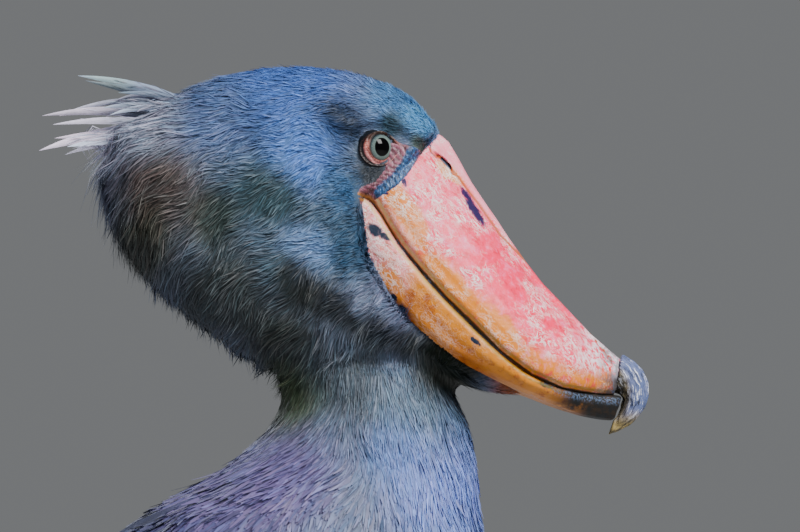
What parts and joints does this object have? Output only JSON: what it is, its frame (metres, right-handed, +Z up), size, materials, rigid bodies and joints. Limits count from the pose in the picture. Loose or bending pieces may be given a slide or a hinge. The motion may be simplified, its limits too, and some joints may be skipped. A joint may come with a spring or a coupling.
{
  "type": "shoebill",
  "caption": "Life-size still model of a standing shoebill with its head drawn in and its heavy hooked bill pointing down and ahead.",
  "frame": {"origin": "on the floor under the middle of the bird's bounding box", "axes": "+X ahead, the way the bill points; +Y to the bird's left; +Z up"},
  "size_m": [0.8024, 0.313, 1.0949],
  "materials": {
    "head_feathers": "soft short feathers, slate blue on the crown and grey on the cheeks",
    "neck_feathers": "fine soft hair-like feathers, pale blue grey",
    "body_feathers": "narrow layered feathers, lilac grey with pale edges",
    "wing_feathers": "broad layered vanes, slate grey with pale edges and dark shafts",
    "tail_feathers": "broad dark slate vanes",
    "leg_feathers": "short grey feathers",
    "bill_horn": "waxy horn, pink above and orange at the edge, with pale flakes and dark spots",
    "jaw_horn": "waxy horn, orange yellow with dark spots",
    "nail_horn": "worn horn, olive grey with frayed pale layers",
    "throat_skin": "folded skin with short olive grey down",
    "eye": "wet and clear, pale grey iris round a black pupil",
    "leg_skin": "dark grey skin in small net-like scales",
    "claw_horn": "dark polished horn"
  },
  "bodies": {
    "root": {"head": "head_feathers", "eye_right": "eye", "eye_left": "eye", "upper_bill": "bill_horn", "bill_nail": "nail_horn", "lower_bill": "jaw_horn", "throat": "throat_skin", "neck": "neck_feathers", "torso": "body_feathers", "wing_right": "wing_feathers", "wing_left": "wing_feathers", "tail": "tail_feathers", "thigh_right": "leg_feathers", "shank_right": "leg_skin", "tarsus_right": "leg_skin", "inner_toe_right": "leg_skin", "inner_toe_claw_right": "claw_horn", "middle_toe_right": "leg_skin", "middle_toe_claw_right": "claw_horn", "outer_toe_right": "leg_skin", "outer_toe_claw_right": "claw_horn", "hind_toe_right": "leg_skin", "hind_toe_claw_right": "claw_horn", "thigh_left": "leg_feathers", "shank_left": "leg_skin", "tarsus_left": "leg_skin", "inner_toe_left": "leg_skin", "inner_toe_claw_left": "claw_horn", "middle_toe_left": "leg_skin", "middle_toe_claw_left": "claw_horn", "outer_toe_left": "leg_skin", "outer_toe_claw_left": "claw_horn", "hind_toe_left": "leg_skin", "hind_toe_claw_left": "claw_horn"}
  },
  "joints": []
}
